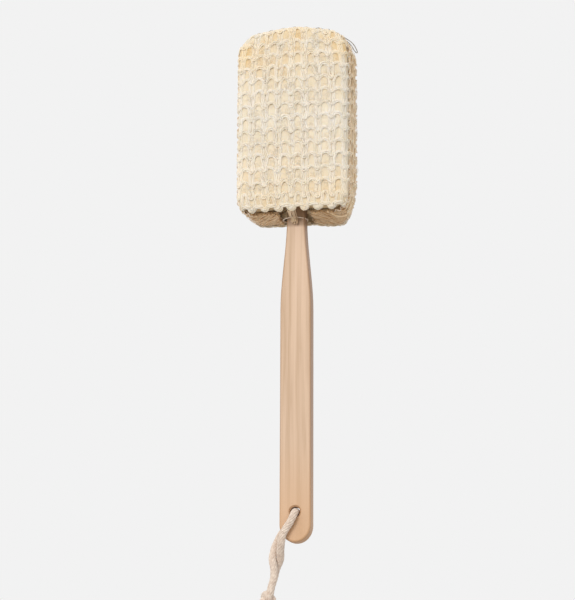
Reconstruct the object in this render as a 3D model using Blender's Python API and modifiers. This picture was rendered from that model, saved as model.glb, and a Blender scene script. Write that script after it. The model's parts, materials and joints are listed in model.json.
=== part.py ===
"""Loofah back scrubber: a flat wooden handle whose paddle carries a foam block under a knitted cover.

Frame: metres, +Z runs up the handle to the head, the scrubbing face looks along -Y, and the origin is
the middle of the grip, where a hand holds it.
"""

import math

import bmesh
import bpy
from mathutils import Matrix, Vector

# Lengths along the handle, measured from the grip's middle
HANDLE_END = -0.1017
HEAD_BOTTOM = 0.134
HEAD_TOP = 0.2765

# Wooden handle, milled from one board
BOARD = 0.0115
BOARD_EDGE = 0.0016
GRIP_HALF = 0.0113
NECK_HALF = 0.0067
TAPER_LENGTH = 0.068
END_ROUND = 0.0125
# The grip's own flat faces lie between these heights, clear of the hole and of the rope at it
GRIP_FLAT = (-0.060, 0.066)
SHOULDER_START = 0.141
SHOULDER_LENGTH = 0.024
PADDLE_HALF = 0.023
PADDLE_TOP = 0.258
PADDLE_CORNER = 0.014

# Hole for the hanging loop, across the board
HOLE = Vector((0.0, 0.0, -0.080))
HOLE_RADIUS = 0.0035
COUNTERSINK = 0.0046
COUNTERSINK_DEPTH = 0.0011

# Head: knitted cover around a foam block
HEAD_HALF = 0.0412
HEAD_DEPTH = 0.046
HEAD_CORNER_TOP = 0.020
HEAD_CORNER_BOTTOM = 0.013
HEAD_EDGE = 0.0070
COVER = 0.0032
SEAM_Y = 0.0150
SEAM_HALF_GAP = 0.0008
SEAM_THREAD = 0.0010
BOTTOM_PANEL_REACH = 0.033
NECK_OPENING_HALF = 0.0112
NECK_THREAD = 0.0012

# Clearance between pieces that touch on the real thing
GAP = 0.0003

# Hanging loop: a cotton rope
ROPE = 0.0050
# Centre line of each strand from the middle of the hole to the knot, in mm from the hole's centre
FRONT_STRAND = (
    (0.0, -0.15, 0.0),
    (0.0, -3.2, -0.1),
    (-0.1, -6.2, -0.9),
    (-0.8, -8.4, -3.6),
    (-3.0, -8.8, -8.2),
    (-7.3, -8.8, -15.0),
    (-8.9, -8.3, -20.0),
    (-9.9, -6.2, -24.0),
    (-10.9, -2.9, -28.0),
    (-11.5, 0.4, -31.6),
    (-13.0, 2.4, -35.2),
    (-14.8, 2.8, -38.8),
    (-16.3, 2.9, -45.0),
    (-18.9, 2.9, -53.6),
)
BACK_STRAND = (
    (0.0, 0.15, 0.0),
    (-0.3, 3.2, -0.1),
    (-1.0, 6.2, -0.8),
    (-3.0, 8.4, -3.0),
    (-6.5, 8.8, -7.0),
    (-12.0, 8.7, -13.5),
    (-14.8, 7.6, -19.0),
    (-16.2, 4.6, -23.5),
    (-16.4, 1.4, -27.6),
    (-16.9, -0.6, -31.3),
    (-16.3, -2.3, -35.2),
    (-15.5, -2.8, -39.0),
    (-15.4, -2.8, -45.4),
    (-17.3, -2.8, -53.6),
)
FRONT_TAIL = ((-23.6, 1.6, -71.4), (-25.2, 1.9, -76.5), (-26.0, 1.6, -82.0), (-25.8, 1.0, -87.5))
BACK_TAIL = ((-17.8, -1.6, -71.4), (-16.8, -2.4, -76.0), (-16.7, -2.9, -81.0), (-17.4, -3.0, -85.5))
KNOT_CENTRE = (-20.6, 0.0, -62.6)
KNOT_HALF = (0.0058, 0.0060, 0.0078)
# Loose end of the seam thread at the top corner, in mm from the head's top centre
THREAD_LOOP = (
    (22.0, -13.5, 0.9),
    (29.5, -10.0, -0.2),
    (36.0, -3.0, -3.6),
    (40.2, 6.0, -7.0),
    (42.2, 14.0, -10.6),
    (42.0, 15.6, -11.8),
    (40.6, 13.8, -11.0),
    (38.6, 8.0, -7.9),
    (36.3, 2.0, -5.3),
    (33.7, -4.0, -3.1),
)
LOOP_THREAD = 0.0008


def clear_scene():
    """Remove whatever the file opened with."""
    for obj in list(bpy.data.objects):
        bpy.data.objects.remove(obj, do_unlink=True)


def new_collection(name):
    collection = bpy.data.collections.new(name)
    bpy.context.scene.collection.children.link(collection)
    return collection


def material(name, colour, roughness):
    """A Principled material of one colour, not metallic."""
    made = bpy.data.materials.new(name)
    made.use_nodes = True
    shader = made.node_tree.nodes["Principled BSDF"]
    shader.inputs["Base Color"].default_value = (*colour, 1.0)
    shader.inputs["Roughness"].default_value = roughness
    shader.inputs["Metallic"].default_value = 0.0
    return made


def smoothstep(t):
    t = min(max(t, 0.0), 1.0)
    return t * t * (3.0 - 2.0 * t)


def steps(low, high, count):
    """Evenly spaced values from low up to, but without, high."""
    return [low + (high - low) * i / count for i in range(count)]


def arc(centre, radius_x, radius_z, start, end, count):
    """Points of an ellipse's arc, angles in degrees, with both ends."""
    angles = [math.radians(start + (end - start) * i / count) for i in range(count + 1)]
    return [(centre[0] + radius_x * math.cos(a), centre[1] + radius_z * math.sin(a)) for a in angles]


def mirrored(half):
    """Close a right half that runs upwards with its own mirror image."""
    left = [(-x, z) for x, z in reversed(half) if x > 1e-6]
    return half + left


def handle_half_width(z):
    """Half the board's width: grip, neck at the head's opening, and paddle."""
    grip = smoothstep((HEAD_BOTTOM - z) / TAPER_LENGTH)
    paddle = smoothstep((z - SHOULDER_START) / SHOULDER_LENGTH)
    return NECK_HALF + (GRIP_HALF - NECK_HALF) * grip + (PADDLE_HALF - NECK_HALF) * paddle


def handle_outline(spare=0.0):
    """The board's outline, grown by spare."""
    end_centre = HANDLE_END + END_ROUND
    half = arc((0.0, end_centre), GRIP_HALF + spare, END_ROUND + spare, -90.0, 0.0, 12)[:-1]
    taper_start = HEAD_BOTTOM - TAPER_LENGTH
    shoulder_end = SHOULDER_START + SHOULDER_LENGTH
    heights = steps(end_centre, taper_start, 4) + steps(taper_start, HEAD_BOTTOM, 10)
    heights += [HEAD_BOTTOM] + steps(SHOULDER_START, shoulder_end, 10) + [shoulder_end]
    half += [(handle_half_width(z) + spare, z) for z in heights]
    corner = (PADDLE_HALF - PADDLE_CORNER, PADDLE_TOP - PADDLE_CORNER)
    half += arc(corner, PADDLE_CORNER + spare, PADDLE_CORNER + spare, 0.0, 90.0, 8)
    return mirrored(half)


def head_outline(inset):
    """The head's front outline, moved inwards by inset."""
    half_width = HEAD_HALF - inset
    low, high = HEAD_BOTTOM + inset, HEAD_TOP - inset
    r_low, r_high = HEAD_CORNER_BOTTOM - inset, HEAD_CORNER_TOP - inset
    half = arc((half_width - r_low, low + r_low), r_low, r_low, -90.0, 0.0, 8)
    half += arc((half_width - r_high, high - r_high), r_high, r_high, 0.0, 90.0, 10)
    return mirrored(half)


def mesh_from_curve(guide, name, collection):
    """Turn a curve object into a welded mesh object in the same place."""
    bpy.context.scene.collection.objects.link(guide)
    bpy.context.view_layer.update()
    evaluated = guide.evaluated_get(bpy.context.evaluated_depsgraph_get())
    mesh = bpy.data.meshes.new_from_object(evaluated)
    shape = bmesh.new()
    shape.from_mesh(mesh)
    bmesh.ops.remove_doubles(shape, verts=shape.verts, dist=1e-6)
    flat = math.radians(0.5)
    bmesh.ops.dissolve_limit(shape, angle_limit=flat, verts=shape.verts, edges=shape.edges)
    bmesh.ops.recalc_face_normals(shape, faces=shape.faces)
    shape.to_mesh(mesh)
    shape.free()
    obj = bpy.data.objects.new(name, mesh)
    obj.matrix_world = guide.matrix_world.copy()
    collection.objects.link(obj)
    bpy.data.objects.remove(guide, do_unlink=True)
    return obj


def slab(name, outline, y_low, y_high, collection):
    """A flat outline in X and Z with thickness along Y."""
    curve = bpy.data.curves.new(name + "_outline", "CURVE")
    curve.dimensions = "2D"
    curve.fill_mode = "BOTH"
    curve.extrude = (y_high - y_low) / 2.0
    spline = curve.splines.new("POLY")
    spline.points.add(len(outline) - 1)
    for point, (x, z) in zip(spline.points, outline):
        point.co = (x, z, 0.0, 1.0)
    spline.use_cyclic_u = True
    guide = bpy.data.objects.new(name + "_outline", curve)
    guide.location = (0.0, (y_low + y_high) / 2.0, 0.0)
    guide.rotation_euler = (math.radians(90.0), 0.0, 0.0)
    return mesh_from_curve(guide, name, collection)


def split_across(obj, height):
    """Add an edge loop round obj at a height, which leaves its shape as it is."""
    to_local = obj.matrix_world.inverted()
    shape = bmesh.new()
    shape.from_mesh(obj.data)
    bmesh.ops.bisect_plane(shape, geom=[*shape.verts, *shape.edges, *shape.faces], dist=1e-7,
                           plane_co=to_local @ Vector((0.0, 0.0, height)),
                           plane_no=to_local.to_3x3() @ Vector((0.0, 0.0, 1.0)))
    shape.to_mesh(obj.data)
    shape.free()


def round_edges(obj, width, segments):
    """Round the sharp edges and shade the result smooth."""
    bevel = obj.modifiers.new("rounded_edges", "BEVEL")
    bevel.limit_method = "ANGLE"
    bevel.angle_limit = math.radians(60.0)
    bevel.width = width
    bevel.segments = segments
    obj.data.shade_smooth()
    obj.data.set_sharp_from_angle(angle=math.radians(40.0))


def boolean(obj, cutter, operation):
    """Cut obj by cutter, or keep only what the two share."""
    cut = obj.modifiers.new(operation.lower(), "BOOLEAN")
    cut.operation = operation
    cut.solver = "EXACT"
    cut.object = cutter


def as_cutter(obj):
    obj.hide_render = True
    obj.display_type = "WIRE"
    return obj


def box_cutter(name, low, high, cutters):
    """A box between two corners that only cuts."""
    shape = bmesh.new()
    middle = [(a + b) / 2.0 for a, b in zip(low, high)]
    sides = [b - a for a, b in zip(low, high)]
    place = Matrix.Translation(middle) @ Matrix.Diagonal((*sides, 1.0))
    bmesh.ops.create_cube(shape, size=1.0, matrix=place)
    mesh = bpy.data.meshes.new(name)
    shape.to_mesh(mesh)
    shape.free()
    obj = bpy.data.objects.new(name, mesh)
    cutters.objects.link(obj)
    return as_cutter(obj)


def hole_cutter(cutters):
    """A turned cutter along Y: the hanging hole with a countersink at each face."""
    face, past = BOARD / 2.0, BOARD
    profile = [(0.0, past), (COUNTERSINK, past), (COUNTERSINK, face),
               (HOLE_RADIUS, face - COUNTERSINK_DEPTH)]
    profile += [(x, -z) for x, z in reversed(profile)]
    mesh = bpy.data.meshes.new("hole")
    edges = [(i, i + 1) for i in range(len(profile) - 1)]
    mesh.from_pydata([(x, 0.0, z) for x, z in profile], edges, [])
    obj = bpy.data.objects.new("hole", mesh)
    obj.location = HOLE
    obj.rotation_euler = (math.radians(90.0), 0.0, 0.0)
    turned = obj.modifiers.new("turned", "SCREW")
    turned.steps = turned.render_steps = 24
    turned.use_merge_vertices = True
    turned.merge_threshold = 0.00001
    cutters.objects.link(obj)
    return as_cutter(obj)


def smooth_route(points, count):
    """Points read evenly from a Catmull-Rom curve through the given points."""
    padded = [points[0] * 2.0 - points[1], *points, points[-1] * 2.0 - points[-2]]
    route = []
    spans = len(points) - 1
    for i in range(count + 1):
        at = spans * i / count
        k = min(int(at), spans - 1)
        t = at - k
        a, b, c, d = padded[k:k + 4]
        route.append(0.5 * (2.0 * b + (c - a) * t + (2.0 * a - 5.0 * b + 4.0 * c - d) * t * t
                            + (3.0 * b - a - 3.0 * c + d) * t ** 3))
    return route


def tube(name, route, diameter, collection, closed=False, sides=2):
    """A round rope or thread along a route, with closed ends or closed on itself."""
    curve = bpy.data.curves.new(name, "CURVE")
    curve.dimensions = "3D"
    curve.bevel_depth = diameter / 2.0
    curve.bevel_resolution = sides
    curve.use_fill_caps = True
    curve.render_resolution_u = 0
    spline = curve.splines.new("POLY")
    spline.points.add(len(route) - 1)
    for point, place in zip(spline.points, route):
        point.co = (*place, 1.0)
    spline.use_cyclic_u = closed
    obj = bpy.data.objects.new(name, curve)
    collection.objects.link(obj)
    return obj


def paint(obj, made):
    obj.data.materials.clear()
    obj.data.materials.append(made)


def make_handle(parts, cutters, wood):
    """Grip, neck and paddle in one board, with the countersunk hole for the loop."""
    handle = slab("handle", handle_outline(), -BOARD / 2.0, BOARD / 2.0, parts)
    for height in GRIP_FLAT:
        split_across(handle, height)
    round_edges(handle, BOARD_EDGE, 4)
    boolean(handle, hole_cutter(cutters), "DIFFERENCE")
    paint(handle, wood)


def make_foam(parts, cutters, foam):
    """Two foam slabs on the paddle's faces and a foam rim in the paddle's own plane."""
    outline = head_outline(COVER + GAP)
    inner = BOARD / 2.0 + GAP
    outer = HEAD_DEPTH / 2.0 - COVER - GAP
    edge = HEAD_EDGE - COVER
    front = slab("foam_front", outline, -outer, -inner, parts)
    back = slab("foam_back", outline, inner, outer, parts)
    rim = slab("foam_rim", outline, -BOARD / 2.0, BOARD / 2.0, parts)
    around_paddle = as_cutter(slab("around_paddle", handle_outline(2.0 * GAP), -BOARD, BOARD, cutters))
    boolean(rim, around_paddle, "DIFFERENCE")
    for pad in (front, back):
        round_edges(pad, edge, 3)
    for piece in (front, back, rim):
        paint(piece, foam)


def cover_piece(name, keep, inner, parts, knit):
    """The part of the head's knitted shell that lies inside the keep box."""
    piece = slab(name, head_outline(0.0), -HEAD_DEPTH / 2.0, HEAD_DEPTH / 2.0, parts)
    round_edges(piece, HEAD_EDGE, 5)
    boolean(piece, keep, "INTERSECT")
    boolean(piece, inner, "DIFFERENCE")
    paint(piece, knit)
    return piece


def make_cover(parts, cutters, knit):
    """Front and back panels, the band round the sides and top, and two bottom panels."""
    inside = HEAD_DEPTH / 2.0 - COVER
    inner = as_cutter(slab("cover_inside", head_outline(COVER), -inside, inside, cutters))
    round_edges(inner, HEAD_EDGE - COVER, 3)
    wide, low, high = HEAD_HALF + 0.01, HEAD_BOTTOM - 0.01, HEAD_TOP + 0.01
    deep = HEAD_DEPTH
    panel, band = SEAM_Y + SEAM_HALF_GAP, SEAM_Y - SEAM_HALF_GAP
    front = box_cutter("keep_front", (-wide, -deep, low), (wide, -panel, high), cutters)
    back = box_cutter("keep_back", (-wide, panel, low), (wide, deep, high), cutters)
    middle = box_cutter("keep_band", (-wide, -band, low), (wide, band, high), cutters)
    cover_piece("cover_front", front, inner, parts, knit)
    cover_piece("cover_back", back, inner, parts, knit)
    sides = cover_piece("cover_band", middle, inner, parts, knit)
    reach, rise = BOTTOM_PANEL_REACH, HEAD_BOTTOM + 0.008
    boolean(sides, box_cutter("no_bottom", (-reach - GAP, -deep, low), (reach + GAP, deep, rise),
                              cutters), "DIFFERENCE")
    for name, side in (("left", -1.0), ("right", 1.0)):
        across = sorted((side * NECK_OPENING_HALF, side * reach))
        keep = box_cutter("keep_bottom_" + name, (across[0], -band, low), (across[1], band, rise),
                          cutters)
        cover_piece("cover_bottom_" + name, keep, inner, parts, knit)


def make_threads(parts, thread, nylon):
    """The two seam threads, the thread drawn round the neck and the loose nylon loop."""
    middle = head_outline(COVER / 2.0)
    for name, y in (("seam_thread_front", -SEAM_Y), ("seam_thread_back", SEAM_Y)):
        route = [Vector((x, y, z)) for x, z in middle]
        paint(tube(name, route, SEAM_THREAD, parts, closed=True, sides=0), thread)
    half_x = NECK_OPENING_HALF - NECK_THREAD / 2.0 - GAP
    half_y = SEAM_Y - 0.006
    height = HEAD_BOTTOM + COVER / 2.0
    turn = [2.0 * math.pi * i / 32 for i in range(32)]
    ring = [Vector((half_x * math.cos(a), half_y * math.sin(a), height)) for a in turn]
    paint(tube("neck_thread", ring, NECK_THREAD, parts, closed=True, sides=1), thread)
    top = Vector((0.0, 0.0, HEAD_TOP))
    points = [top + Vector(p) * 0.001 for p in THREAD_LOOP]
    paint(tube("thread_loop", smooth_route(points, 24), LOOP_THREAD, parts, sides=1), nylon)


def make_hanging_loop(parts, cotton):
    """Two strands that leave the hole on its two faces, twist together and end in a knot."""
    pivot = bpy.data.objects.new("loop_pivot", None)
    pivot.location = HOLE
    parts.objects.link(pivot)
    strands = (("loop_strand_front", FRONT_STRAND, 30), ("loop_strand_back", BACK_STRAND, 30),
               ("loop_tail_front", FRONT_TAIL, 5), ("loop_tail_back", BACK_TAIL, 5))
    for name, points, count in strands:
        route = smooth_route([Vector(p) * 0.001 for p in points], count)
        strand = tube(name, route, ROPE, parts, sides=3)
        paint(strand, cotton)
        strand.parent = pivot
    shape = bmesh.new()
    place = Matrix.Diagonal((*KNOT_HALF, 1.0))
    bmesh.ops.create_uvsphere(shape, u_segments=20, v_segments=12, radius=1.0, matrix=place)
    mesh = bpy.data.meshes.new("loop_knot")
    shape.to_mesh(mesh)
    shape.free()
    mesh.shade_smooth()
    knot = bpy.data.objects.new("loop_knot", mesh)
    knot.location = Vector(KNOT_CENTRE) * 0.001
    knot.parent = pivot
    parts.objects.link(knot)
    paint(knot, cotton)


def main():
    clear_scene()
    parts = new_collection("loofah_back_scrubber")
    cutters = new_collection("cutters")
    wood = material("wood", (0.72, 0.52, 0.36), 0.55)
    foam = material("foam", (0.62, 0.50, 0.33), 0.95)
    knit = material("sisal_knit", (0.82, 0.72, 0.56), 0.90)
    thread = material("sewing_thread", (0.80, 0.68, 0.50), 0.80)
    nylon = material("nylon_thread", (0.60, 0.58, 0.55), 0.30)
    cotton = material("cotton_rope", (0.66, 0.55, 0.43), 0.95)
    make_handle(parts, cutters, wood)
    make_foam(parts, cutters, foam)
    make_cover(parts, cutters, knit)
    make_threads(parts, thread, nylon)
    make_hanging_loop(parts, cotton)
    bpy.context.view_layer.update()


main()
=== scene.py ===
"""Looks of the loofah back scrubber: knitted plant-fibre cover, foam, wooden handle and cotton loop."""

import json
import math

import bmesh
import bpy
import numpy as np
from mathutils import Matrix, Vector


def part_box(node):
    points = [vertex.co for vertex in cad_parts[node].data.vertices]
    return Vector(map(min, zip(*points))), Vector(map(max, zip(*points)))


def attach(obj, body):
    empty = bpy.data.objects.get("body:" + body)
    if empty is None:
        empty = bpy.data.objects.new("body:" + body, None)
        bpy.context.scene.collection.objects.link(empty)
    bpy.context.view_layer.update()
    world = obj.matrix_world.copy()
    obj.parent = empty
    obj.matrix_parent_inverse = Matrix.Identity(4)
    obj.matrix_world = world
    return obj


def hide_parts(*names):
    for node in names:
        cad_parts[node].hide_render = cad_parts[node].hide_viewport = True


# Lengths are in metres. MM turns millimetres into them.
MM = 0.001


# ---------------------------------------------------------------- frame and driving sizes

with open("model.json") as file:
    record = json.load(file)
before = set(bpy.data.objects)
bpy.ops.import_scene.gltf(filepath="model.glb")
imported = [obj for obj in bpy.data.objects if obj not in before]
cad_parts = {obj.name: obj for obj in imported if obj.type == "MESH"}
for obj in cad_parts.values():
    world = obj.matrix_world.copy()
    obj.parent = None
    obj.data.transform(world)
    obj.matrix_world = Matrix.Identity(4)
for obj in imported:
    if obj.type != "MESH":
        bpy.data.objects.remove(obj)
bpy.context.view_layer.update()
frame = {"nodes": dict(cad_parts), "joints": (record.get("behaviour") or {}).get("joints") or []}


def joined_box(*nodes):
    """The lowest and highest corner of several CAD nodes together."""
    corners = [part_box(n) for n in nodes]
    low = np.min([np.array(c[0]) for c in corners], axis=0)
    high = np.max([np.array(c[1]) for c in corners], axis=0)
    return low, high


# The head's plain form, read from the CAD, with the radii that its covers share
HEAD_LOW, HEAD_HIGH = joined_box("cover_front", "cover_back", "cover_band")
HEAD_HALF = HEAD_HIGH[0]
HEAD_FACE = HEAD_HIGH[1]
HEAD_BOTTOM, HEAD_TOP = HEAD_LOW[2], HEAD_HIGH[2]
HEAD_MIDDLE = (HEAD_BOTTOM + HEAD_TOP) / 2.0
CORNER_TOP = 20.0 * MM
CORNER_BOTTOM = 13.0 * MM
EDGE = 7.0 * MM
SEAM_Y = 15.0 * MM

# How the soft head departs from that form
DOME_LEVEL = 0.6 * MM
DOME_DROP = 2.6 * MM
CORNER_DRAW = 3.4 * MM
SAG = 1.5 * MM
CROWN = 1.6 * MM
SIDE_CROWN = 0.8 * MM
OPENING_DEPTH = 7.0 * MM

# Handle and hanging loop
HOLE = Vector(frame["joints"][0]["pos_m"])
ROPE = 5.0 * MM
PLY_PITCH = 24.0 * MM
# The rope's core, and its plies' distance from the middle and half thickness, as shares of its radius
ROPE_CORE, PLY_OUT, PLY_HALF = 0.94, 0.72, 0.38
# Radius of the rope where it is drawn tight in the knot, and where it enters and leaves it
KNOT_ROPE, KNOT_END = 2.3 * MM, 2.42 * MM
# A tail's points, the one where its rope opens into loose yarns, and how many those are
TAIL_POINTS, FRAY_FROM, FRAY_YARNS = 60, 40, 44
# Centre lines in mm: strands and tails from the hole's centre, the thread's loop from the head's top
FRONT_STRAND = (
    (0.0, -0.15, 0.0), (0.0, -3.2, -0.1), (-0.1, -6.2, -0.9), (-0.8, -8.4, -3.6),
    (-3.0, -8.8, -8.2), (-7.3, -8.8, -15.0), (-8.9, -8.3, -20.0), (-9.9, -6.2, -24.0),
    (-10.9, -2.9, -28.0), (-11.5, 0.4, -31.6), (-13.0, 2.4, -35.2), (-14.8, 2.8, -38.8),
    (-16.3, 2.9, -45.0), (-18.9, 2.9, -53.6),
)
BACK_STRAND = (
    (0.0, 0.15, 0.0), (-0.3, 3.2, -0.1), (-1.0, 6.2, -0.8), (-3.0, 8.4, -3.0),
    (-6.5, 8.8, -7.0), (-12.0, 8.7, -13.5), (-14.8, 7.6, -19.0), (-16.2, 4.6, -23.5),
    (-16.4, 1.4, -27.6), (-16.9, -0.6, -31.3), (-16.3, -2.3, -35.2), (-15.5, -2.8, -39.0),
    (-15.4, -2.8, -45.4), (-17.3, -2.8, -53.6),
)
FRONT_TAIL = ((-23.6, 1.6, -71.4), (-25.2, 1.9, -76.5), (-26.0, 1.6, -82.0), (-25.8, 1.0, -87.5))
BACK_TAIL = ((-17.8, -1.6, -71.4), (-16.8, -2.4, -76.0), (-16.7, -2.9, -81.0), (-17.4, -3.0, -85.5))
THREAD_LOOP = (
    (22.0, -13.5, 0.9), (29.5, -10.0, -0.2), (36.0, -3.0, -3.6), (40.2, 6.0, -7.0),
    (42.2, 14.0, -10.6), (42.0, 15.6, -11.8), (40.6, 13.8, -11.0), (38.6, 8.0, -7.9),
    (36.3, 2.0, -5.3), (33.7, -4.0, -3.1),
)

# Knit: a wale is one loop across, a course is one row of loops
WALE = 9.85 * MM
COURSE = 10.1 * MM
# Share by which the panels are drawn together towards the top
TOP_PULL = 0.13
# A loop's half height, how far its neck narrows and its head widens, and how far it rises
LOOP_HALF = 6.3 * MM
NECK_IN = 0.85 * MM
HEAD_WIDEN = 1.15 * MM
HEM_WIDEN = -0.3 * MM
RELIEF = 0.38 * MM
# Points along the yarn for each loop
SAMPLES = 17
# Distance of a panel's last row from the seam, and of the small loops that bind its lower edge
ROW_CLEAR = 4.0 * MM
RIM_CLEAR = 3.0 * MM

# Yarn: strands laid together, over the knit's inner layer
STRANDS = 4
STRAND_WIDE, STRAND_THICK = 0.64 * MM, 0.48 * MM
YARN_HALF_WIDTH = 1.35 * MM
YARN_HALF_THICK = 0.75 * MM
YARN_TOP = 0.6 * MM
YARN_TWIST = 24.0 * MM
BACKING_TOP = -0.68 * MM
BACKING_UNDER = -2.7 * MM

# The yarn turns yellower between these distances below the head's top, and between these above its
# bottom, there by this share
GOLD_ABOVE = (68.5 * MM, 4.5 * MM)
GOLD_BELOW = (66.0 * MM, 16.0 * MM)
LOWER_GOLD = 0.45

# The front panel's hem ends this far in from the seam, and the neck is tied this far below the CAD's ring
FRONT_HEM = 5.5 * MM
NECK_TIE_DROP = 2.2 * MM
DRAWN_YARNS = 7
# Where the band starts and the bottom panels end, along the outline from the bottom's middle
BAND_START = HEAD_HALF - CORNER_BOTTOM * 0.1
# Distance between the bottom's ribs, and how far they run outwards for each length run backwards
RIB = 3.1 * MM
RIB_SLANT = 0.75
# Seams: the length of a stitch and the reach of the thread round the seam
STITCH = 4.6 * MM
STITCH_REACH = 1.15 * MM
STITCH_POINTS = 14

# Studio: the surroundings' brightness at eye level and below it, the two lamps in watts, and the floor
WORLD_PALE = 0.888
WORLD_BELOW = 0.45
LAMP_COLOUR = (1.0, 0.985, 0.96)
KEY_PLACE, KEY_AIM, KEY_SIZE, KEY_POWER = (-0.65, -2.3, 0.85), (0.0, 0.0, 0.15), 1.3, 30.0
BACK_PLACE, BACK_AIM, BACK_SIZE, BACK_POWER = (-0.9, 2.4, 1.0), (0.0, 0.0, 0.1), 1.6, 18.0
FLOOR_HEIGHT = -2.0
FLOOR_HALF = 14.0
FLOOR_COLOUR = (0.62, 0.605, 0.585)


# ---------------------------------------------------------------- camera

# Angles in degrees, apart from the small roll in radians
AZIMUTH, ELEVATION = 11.3, -13.5
FRAME_ANGLE = 15.695
ROLL = 0.0037
DISTANCE = 1.57
LOOK_AT = Vector((-0.0070, 0.0, 0.0741))


def add_camera():
    """A camera that looks up at the head from a little to its right."""
    a, e = math.radians(AZIMUTH), math.radians(ELEVATION)
    forward = Vector((-math.sin(a) * math.cos(e), math.cos(a) * math.cos(e), -math.sin(e)))
    camera = bpy.data.cameras.new("camera")
    camera.sensor_fit = "AUTO"
    camera.angle = math.radians(FRAME_ANGLE)
    camera.clip_start, camera.clip_end = 0.05, 30.0
    holder = bpy.data.objects.new("camera", camera)
    holder.location = LOOK_AT - forward * DISTANCE
    turn = forward.to_track_quat("-Z", "Y")
    holder.rotation_euler = (turn.to_matrix() @ Matrix.Rotation(ROLL, 3, "Z")).to_euler()
    bpy.context.scene.collection.objects.link(holder)
    bpy.context.scene.camera = holder


# ---------------------------------------------------------------- mesh tools

def unit(v):
    """The same directions, each of length one."""
    return v / np.maximum(np.linalg.norm(v, axis=-1, keepdims=True), 1e-12)


def smooth_route(points, count):
    """Points read evenly by length from a Catmull-Rom curve through the given points."""
    p = np.array(points, float)
    p = np.vstack([2.0 * p[0] - p[1], p, 2.0 * p[-1] - p[-2]])
    spans = len(p) - 3
    at = np.linspace(0.0, spans, spans * 24 + 1)
    k = np.minimum(at.astype(int), spans - 1)
    t = (at - k)[:, None]
    a, b, c, d = p[k], p[k + 1], p[k + 2], p[k + 3]
    fine = 0.5 * (2 * b + (c - a) * t + (2 * a - 5 * b + 4 * c - d) * t ** 2
                  + (3 * b - a - 3 * c + d) * t ** 3)
    run = run_length(fine)
    even = np.linspace(0.0, run[-1], count)
    return np.stack([np.interp(even, run, fine[:, i]) for i in range(3)], axis=1)


def run_length(path):
    """Length along a path, one value a point."""
    return np.concatenate([[0.0], np.cumsum(np.linalg.norm(np.diff(path, axis=0), axis=1))])


def wobble(rng, count, knots, size):
    """A smooth random line of that many values, with that many free knots."""
    values = rng.normal(0.0, size, knots + 1)
    at = np.linspace(0.0, knots, count)
    k = np.minimum(at.astype(int), knots - 1)
    t = at - k
    t = t * t * (3.0 - 2.0 * t)
    return values[k] * (1.0 - t) + values[k + 1] * t


def parallel_normals(path, first):
    """Normals carried along a path without twist."""
    tangent = unit(np.gradient(path, axis=0))
    normal = np.zeros_like(path)
    n = np.array(first, float)
    for i, t in enumerate(tangent):
        n = n - t * (n @ t)
        n = n / np.linalg.norm(n)
        normal[i] = n
    return normal


class Tubes:
    """Collects tubes that share one mesh."""

    def __init__(self):
        """Start empty. fibre and tone hold each point's place in its yarn and its shade."""
        self.points, self.faces, self.fibre, self.tone, self.slots = [], [], [], [], []
        self.count = 0

    def add(self, path, normal, half_width, half_thick, sides=6, tone=0.5, closed=False,
            slot=0):
        """A tube of elliptic section. half_thick lies along normal, half_width across it."""
        n = len(path)
        if closed:
            tangent = unit(np.roll(path, -1, axis=0) - np.roll(path, 1, axis=0))
        else:
            tangent = unit(np.gradient(path, axis=0))
        across = unit(np.cross(tangent, normal))
        upright = np.cross(across, tangent)
        wide = np.broadcast_to(half_width, (n,))[:, None, None]
        thick = np.broadcast_to(half_thick, (n,))[:, None, None]
        turn = 2.0 * np.pi * np.arange(sides) / sides
        cos, sin = np.cos(turn)[None, :, None], np.sin(turn)[None, :, None]
        ring = path[:, None] + across[:, None] * wide * cos + upright[:, None] * thick * sin
        self.points.append(ring.reshape(-1, 3))
        along = np.broadcast_to(run_length(path)[:, None], (n, sides))
        shift = 0.37 * len(self.points)
        fibre = np.stack([along, np.broadcast_to(wide[:, :, 0] * cos[..., 0], (n, sides)),
                          np.broadcast_to(thick[:, :, 0] * sin[..., 0], (n, sides)) + shift],
                         axis=-1)
        self.fibre.append(fibre.reshape(-1, 3))
        self.tone.append(np.repeat(np.broadcast_to(tone, (n,)), sides))
        start = self.count
        rings = n if closed else n - 1
        i = np.arange(rings)[:, None]
        j = np.arange(sides)[None, :]
        nxt = (i + 1) % n
        jn = (j + 1) % sides
        quads = np.stack([i * sides + j, i * sides + jn, nxt * sides + jn, nxt * sides + j],
                         axis=-1).reshape(-1, 4) + start
        faces = quads.tolist()
        if not closed:
            faces.append([start + k for k in range(sides)][::-1])
            faces.append([start + (n - 1) * sides + k for k in range(sides)])
        self.faces.extend(faces)
        self.slots.extend([slot] * len(faces))
        self.count += n * sides

    def object(self, name, *materials):
        """Make one object of all the tubes, with their fibre directions and tones as attributes."""
        mesh = bpy.data.meshes.new(name)
        mesh.from_pydata(np.vstack(self.points).tolist(), [], self.faces)
        fibre = mesh.attributes.new("fibre", "FLOAT_VECTOR", "POINT")
        fibre.data.foreach_set("vector", np.vstack(self.fibre).astype(np.float32).ravel())
        tone = mesh.attributes.new("tone", "FLOAT", "POINT")
        tone.data.foreach_set("value", np.concatenate(self.tone).astype(np.float32))
        for made in materials:
            mesh.materials.append(made)
        mesh.polygons.foreach_set("material_index", np.array(self.slots, np.int32))
        mesh.shade_smooth()
        fix_facing(mesh)
        obj = bpy.data.objects.new(name, mesh)
        bpy.context.scene.collection.objects.link(obj)
        return obj


def fix_facing(mesh):
    """Turn all faces outwards."""
    shape = bmesh.new()
    shape.from_mesh(mesh)
    bmesh.ops.recalc_face_normals(shape, faces=shape.faces)
    shape.to_mesh(mesh)
    shape.free()


# ---------------------------------------------------------------- the head's surface

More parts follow.
